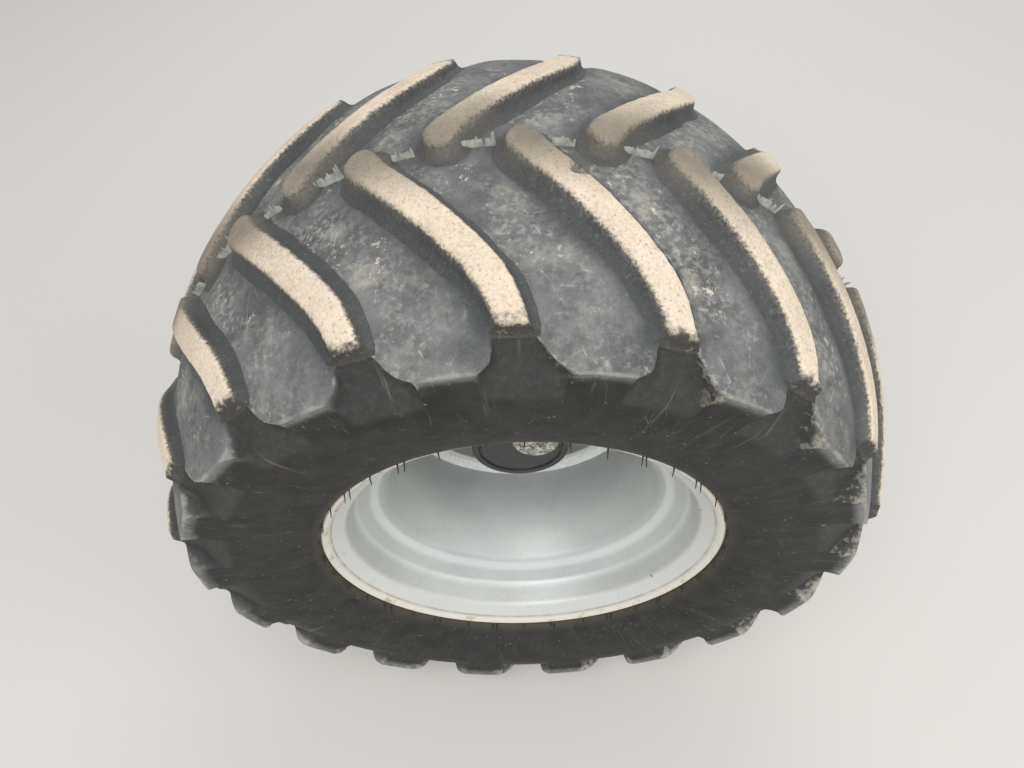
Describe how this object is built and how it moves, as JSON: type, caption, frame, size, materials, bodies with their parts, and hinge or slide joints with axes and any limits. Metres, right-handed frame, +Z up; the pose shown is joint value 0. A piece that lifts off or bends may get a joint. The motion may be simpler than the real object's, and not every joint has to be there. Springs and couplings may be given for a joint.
{
  "type": "loader wheel on its axle end",
  "caption": "Wide agricultural-tread tyre on a deep-dish silver rim, bolted to a hub that turns on a flanged axle end with its splined half shaft.",
  "frame": {"origin": "centre of the axle casing's mounting face, on the wheel's axis", "axes": "+Z up, +Y along the wheel's axis from the outer side inboard into the machine, -X forward"},
  "size_m": [0.787, 0.472, 0.787],
  "materials": {
    "cast_axle": "dark painted casting, dusty",
    "machined_steel": "machined, lightly oiled",
    "dark_bolts": "blackened steel",
    "zinc_steel": "zinc plated, dulled",
    "black_paint": "satin black, scuffed lip",
    "worn_silver": "silver paint worn to dark metal and rust",
    "silver_paint": "satin silver grey, dusty, rust at the lip",
    "black_rubber": "matt",
    "tyre_rubber": "matt charcoal, lug tops dusted with tan sand"
  },
  "bodies": {
    "axle_end": {"axle_casing": "cast_axle", "spindle": "machined_steel", "end_bolts": "dark_bolts"},
    "wheel": {"wheel_hub": "cast_axle", "oil_seal": "black_rubber", "half_shaft": "machined_steel", "wheel_studs": "zinc_steel", "wheel_nuts": "zinc_steel", "hub_cap": "black_paint", "hub_plug": "worn_silver", "rim": "silver_paint", "wheel_disc": "silver_paint", "disc_welds": "silver_paint", "valve": "black_rubber", "tyre": "tyre_rubber"}
  },
  "joints": [
    {"name": "wheel_spin", "type": "hinge", "parent": "axle_end", "child": "wheel", "pos_m": [0, -0.223, 0], "axis": [0, -1, 0], "continuous": true}
  ]
}
